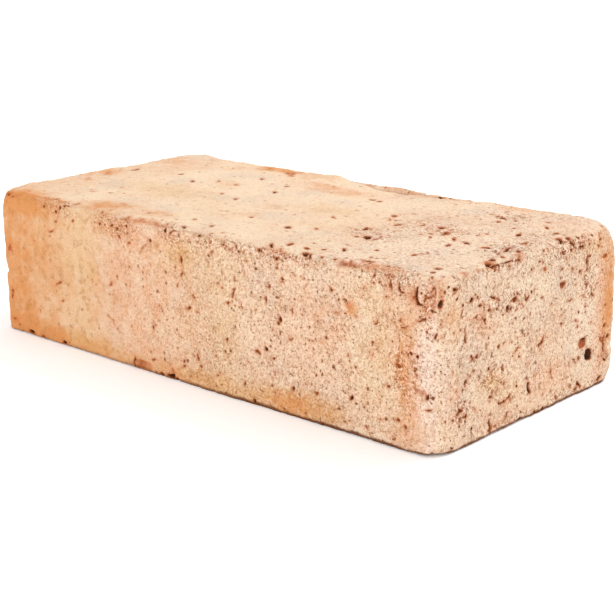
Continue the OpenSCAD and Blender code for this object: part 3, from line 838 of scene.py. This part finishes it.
class Finish:
    """A material that is built by calls: node() makes any node, and the other methods use it."""

    def __init__(self, name):
        self.material = bpy.data.materials.new(name)
        self.material.use_nodes = True
        self.tree = self.material.node_tree
        self.tree.nodes.clear()

    def node(self, kind, settings=None, sockets=None, output=0):
        """Makes a node of this type, with its settings first and then its sockets' values or links."""
        made = self.tree.nodes.new("ShaderNode" + kind)
        for key, value in (settings or {}).items():
            setattr(made, key, value)
        for key, value in (sockets or {}).items():
            if isinstance(value, Value):
                self.tree.links.new(value.socket, made.inputs[key])
            else:
                made.inputs[key].default_value = value
        return Value(self, made.outputs[output]) if made.outputs else None

    def mix(self, share, first, second, blend="MIX"):
        """A colour between first and second."""
        settings = {"data_type": "RGBA", "blend_type": blend}
        return self.node("Mix", settings, {0: share, 6: first, 7: second}, 2)

    def attribute(self, name):
        """The three numbers of a point's vector attribute."""
        vector = self.node("Attribute", {"attribute_name": name}, output="Vector")
        return [self.node("SeparateXYZ", None, {0: vector}, axis) for axis in range(3)]


def paint(red, green, blue):
    """A colour of 0 to 255 as it looks, in the light's own measure."""
    parts = red / 255, green / 255, blue / 255
    return (*(c / 12.92 if c <= 0.04045 else ((c + 0.055) / 1.055) ** 2.4 for c in parts), 1.0)


CREAM, SHELL, SALMON = paint(244, 218, 188), paint(240, 202, 172), paint(235, 178, 140)
ORANGE, BUFF = paint(224, 153, 94), paint(230, 188, 130)
ASH, OCHRE = paint(222, 200, 182), paint(196, 134, 76)
PALE, SAND, CLINKER = paint(250, 226, 208), paint(255, 240, 222), paint(152, 94, 58)
# The last and darkest brown is painted shade, for the bottoms of deep hollows.
SCORCH, RUST, BARK, HOLLOW_SHADE = paint(216, 126, 72), paint(158, 78, 36), paint(104, 50, 16), paint(66, 32, 14)


def fired_clay():
    """Pale kiln-flashed clay: a matt sandy skin with specks, pinholes, brown hollows and rusty breaks."""
    clay = Finish("fired_clay_skin")
    place = clay.node("TexCoord", output="Object")
    hollow, broken, stain = clay.attribute("marks")
    orange, yellow, pink = clay.attribute("firing")
    coarse, sunk, pale = clay.attribute("skin")

    def noise(per_mm, detail=3.0, roughness=0.55, at=place, output=0):
        """Noise around 0.5 with per_mm lumps in a millimetre."""
        sockets = {"Vector": at, "Scale": per_mm / MM, "Detail": detail, "Roughness": roughness}
        return clay.node("TexNoise", None, sockets, output)

    cloud, ashy, blotch = noise(0.035), noise(0.05), noise(0.16, 4.0, 0.6)
    fleck, dust, hair = noise(0.95, 4.0, 0.72), noise(2.0, 2.0, 0.7), noise(0.33, 2.0, 0.5)
    drift = clay.node("VectorMath", {"operation": "MULTIPLY_ADD"},
                      {0: noise(1.0, 2.0, 0.5, place, "Color"), 1: (MM, MM, MM), 2: place})

    # The fired ground: cream to shell pink with ashy clouds, then the flashes of the kiln, and the pale
    # tone, which is partly a painted highlight on the near upright arris and the right part of the upper
    # bed.
    colour = clay.mix(pink * 0.7 + (cloud - 0.5) * 1.6, CREAM, SHELL)
    colour = clay.mix(ashy.ease(0.48, 0.72) * 0.45, colour, ASH)
    colour = clay.mix((pink * (blotch * 2.2 - 0.45)).ease(0.1, 1.0) * 0.8, colour, SALMON)
    colour = clay.mix((yellow * (cloud + blotch * 0.8 + 0.1)).ease(0.1, 1.1) * 0.85, colour, BUFF)
    colour = clay.mix((orange * (blotch * 1.4 + 0.3)).ease(0.04, 1.05), colour, ORANGE)
    # Partly a painted highlight, on the near upright arris and the right part of the upper bed.
    colour = clay.mix((pale * (blotch * 2.0 - 0.2)).ease(0.1, 1.0) * 0.8, colour, PALE)

    smudge = (noise(0.28, 5.0, 0.7) + (dust - 0.5) * 0.3).ease(0.52, 0.64)
    colour = clay.mix(smudge * (orange + yellow * 0.8 + pink * 0.3).least(1.0) * 0.55, colour, OCHRE)

    # Iron: rusty stains, broken edges, and a scorched rim round every hollow.
    mottle = (fleck - 0.5) * 1.5 + (blotch - 0.5) * 0.8 + (dust - 0.5) * 0.6
    scorch = (stain + mottle * 1.3).ease(0.10, 0.95) * stain.ease(0.0, 0.35)
    rust = (stain + mottle * 1.6).ease(0.60, 1.15) * stain.ease(0.0, 0.25)
    raw = (broken + (fleck - 0.5) * 1.4).ease(-0.4, 0.7)
    rim = (hollow + (fleck - 0.5) * 1.2).ease(-1.3, 0.1)
    colour = clay.mix(scorch * 0.70, colour, SCORCH)
    colour = clay.mix(rust * 0.75, colour, RUST)
    colour = clay.mix(raw * 0.35, colour, SCORCH)
    colour = clay.mix(rim * 0.45, colour, SCORCH)

    # Sand grains and the darker seams between them.
    patchy = blotch * 0.9 + 0.55
    colour = clay.mix((fleck + dust * 0.6).ease(0.78, 1.02) * coarse * 0.5, colour, SAND)
    seams = (fleck + dust * 0.7).ease(0.90, 0.58)
    colour = clay.mix(seams * (coarse * 0.62 + 0.04) * patchy, colour, CLINKER)
    torn = noise(0.42, 5.0, 0.78, drift)
    tears = torn.ease(0.40, 0.33) * (coarse - 0.25) * patchy
    colour = clay.mix(torn.ease(0.44, 0.38) * (coarse - 0.25) * patchy * 0.5, colour, SCORCH)
    colour = clay.mix(tears * 0.8, colour, BARK)

    # Specks of burnt grit, and pinholes: a hole in some of the small cells of a jumble of points, each of
    # its own size and uneven in outline.
    grit = noise(0.8, 3.0, 0.62)
    speck = grit.ease(0.625, 0.70) * coarse
    cells = {"Vector": drift, "Scale": 0.36 / MM, "Randomness": 1.0}
    from_middle = clay.node("TexVoronoi", None, cells, "Distance")
    luck = clay.node("SeparateXYZ", None, {0: clay.node("TexVoronoi", None, cells, "Color")}, 0)
    reach = (luck - 0.66) * 0.85 + (dust - 0.5) * 0.35 + (fleck - 0.5) * 0.35
    pinhole = (reach - from_middle).ease(-0.05, 0.10) * luck.ease(0.66, 0.70) * (coarse * 0.8 + 0.2)
    halo = (reach - from_middle).ease(-0.22, -0.02) * luck.ease(0.66, 0.70) * (coarse * 0.6 + 0.4)
    squiggle = (hair - 0.5).size().ease(0.012, 0.004) * cloud.ease(0.50, 0.56) * coarse

    # The walls of every hollow, darker the deeper it is: rusty clay under painted shade that deepens with
    # depth. And the foot of the brick, with a painted dark line that is partly contact shadow, partly brown
    # clay.
    inside = (hollow + (fleck - 0.5) * 0.6).ease(-0.35, 0.20)
    level = clay.node("SeparateXYZ", None, {0: place}, 2) + (blotch - 0.5) * 2.0 * MM
    foot = level.ease(1.9 * MM, 0.8 * MM) * (coarse * 0.9 + 0.1).least(1.0)
    colour = clay.mix((halo + grit.ease(0.575, 0.635) * coarse).least(1.0) * 0.32, colour, SCORCH)
    wall = clay.mix(fleck.ease(0.42, 0.62) * 0.7, RUST, SCORCH)
    # Painted shade: the deeper the hollow, the darker its bottom.
    wall = clay.mix((sunk + (dust - 0.5) * 0.6).ease(0.1, 1.0), wall, HOLLOW_SHADE)
    colour = clay.mix(inside * 0.95, colour, wall)
    colour = clay.mix(speck * 0.85, colour, BARK)
    colour = clay.mix(pinhole * 0.90, colour, BARK)
    colour = clay.mix(squiggle * 0.55, colour, RUST)
    # A painted dark line along the foot: partly contact shadow under the brick, partly dark brown clay.
    colour = clay.mix(foot * 0.92, colour, BARK)

    rise = (fleck - 0.5) * 0.9 + (dust - 0.5) * 0.5
    rise = rise - pinhole * 0.2 - speck * 0.1 - squiggle * 0.15 - tears * 0.3
    bump = clay.node("Bump", None, {"Strength": 1.0, "Distance": MM, "Height": rise}, "Normal")
    shader = clay.node("BsdfPrincipled", None, {
        "Base Color": colour,
        "Roughness": 0.86 + dust * 0.14,
        "Normal": bump,
        "Specular IOR Level": 0.05,
    })
    clay.node("OutputMaterial", None, {"Surface": shader})
    return clay.material


# ---------------------------------------------------------------- floor, light and camera

def make_floor():
    """A wide pale floor at the height of the lower bed."""
    reach = 6.0
    mesh = bpy.data.meshes.new("floor")
    corners = [(x * reach, y * reach, low[2] * MM) for x, y in ((-1, -1), (1, -1), (1, 1), (-1, 1))]
    mesh.from_pydata(corners, [], [(0, 1, 2, 3)])
    floor = bpy.data.objects.new("floor", mesh)
    bpy.context.scene.collection.objects.link(floor)
    pale = Finish("pale_floor")
    shade = pale.node("TexNoise", None, {"Vector": pale.node("TexCoord", output="Object"), "Scale": 3.0})
    colour = pale.mix(shade * 0.04, paint(250, 250, 250), paint(236, 234, 232))
    shader = pale.node("BsdfPrincipled", None, {
        "Base Color": colour,
        "Roughness": 0.9,
        "Emission Color": (1.0, 1.0, 1.0, 1.0),
        "Emission Strength": 0.12,
    })
    pale.node("OutputMaterial", None, {"Surface": shader})
    mesh.materials.append(pale.material)


def make_lamp(name, place, power, breadth, tint=(1.0, 1.0, 1.0)):
    """A square soft lamp at a place in metres, turned to the brick."""
    lamp = bpy.data.lights.new(name, "AREA")
    lamp.energy, lamp.size, lamp.color = power, breadth, tint
    holder = bpy.data.objects.new(name, lamp)
    towards = Vector(middle * MM) - Vector(place)
    holder.matrix_world = Matrix.Translation(place) @ towards.to_track_quat("-Z", "Y").to_matrix().to_4x4()
    bpy.context.scene.collection.objects.link(holder)


def make_camera(azimuth, elevation, roll, distance, aim, lens):
    """A camera that looks at aim, azimuth degrees round from the front and elevation above the floor."""
    a, e, r = (math.radians(angle) for angle in (azimuth, elevation, roll))
    back = Vector((math.sin(a) * math.cos(e), -math.cos(a) * math.cos(e), math.sin(e)))
    level = Vector((math.cos(a), math.sin(a), 0))
    rise = back.cross(level)
    right = math.cos(r) * level + math.sin(r) * rise
    camera = bpy.data.objects.new("camera", bpy.data.cameras.new("camera"))
    camera.data.lens, camera.data.sensor_width = lens, 36.0
    place = (Vector(aim) + back * distance) * MM
    facing = Matrix((right, back.cross(right), back)).transposed().to_4x4()
    camera.matrix_world = Matrix.Translation(place) @ facing
    bpy.context.scene.collection.objects.link(camera)
    bpy.context.scene.camera = camera


world = bpy.data.worlds.new("studio")
world.use_nodes = True
world.node_tree.nodes["Background"].inputs["Color"].default_value = (1.0, 1.0, 1.0, 1.0)
world.node_tree.nodes["Background"].inputs["Strength"].default_value = 1.0
bpy.context.scene.world = world
bpy.context.scene.view_settings.view_transform = "Standard"

brick = make_brick()
brick.data.materials.clear()
brick.data.materials.append(fired_clay())
make_floor()
make_lamp("window", (0.35, 0.8, 1.2), 9.0, 0.5, (1.0, 0.99, 0.97))
make_lamp("fill", (0.5, -1.5, 0.5), 7.0, 1.0, (1.0, 0.98, 0.95))
make_camera(azimuth=42.5, elevation=16.2, roll=-0.7, distance=552, aim=(43.9, -36.6, 35.4), lens=82.8)
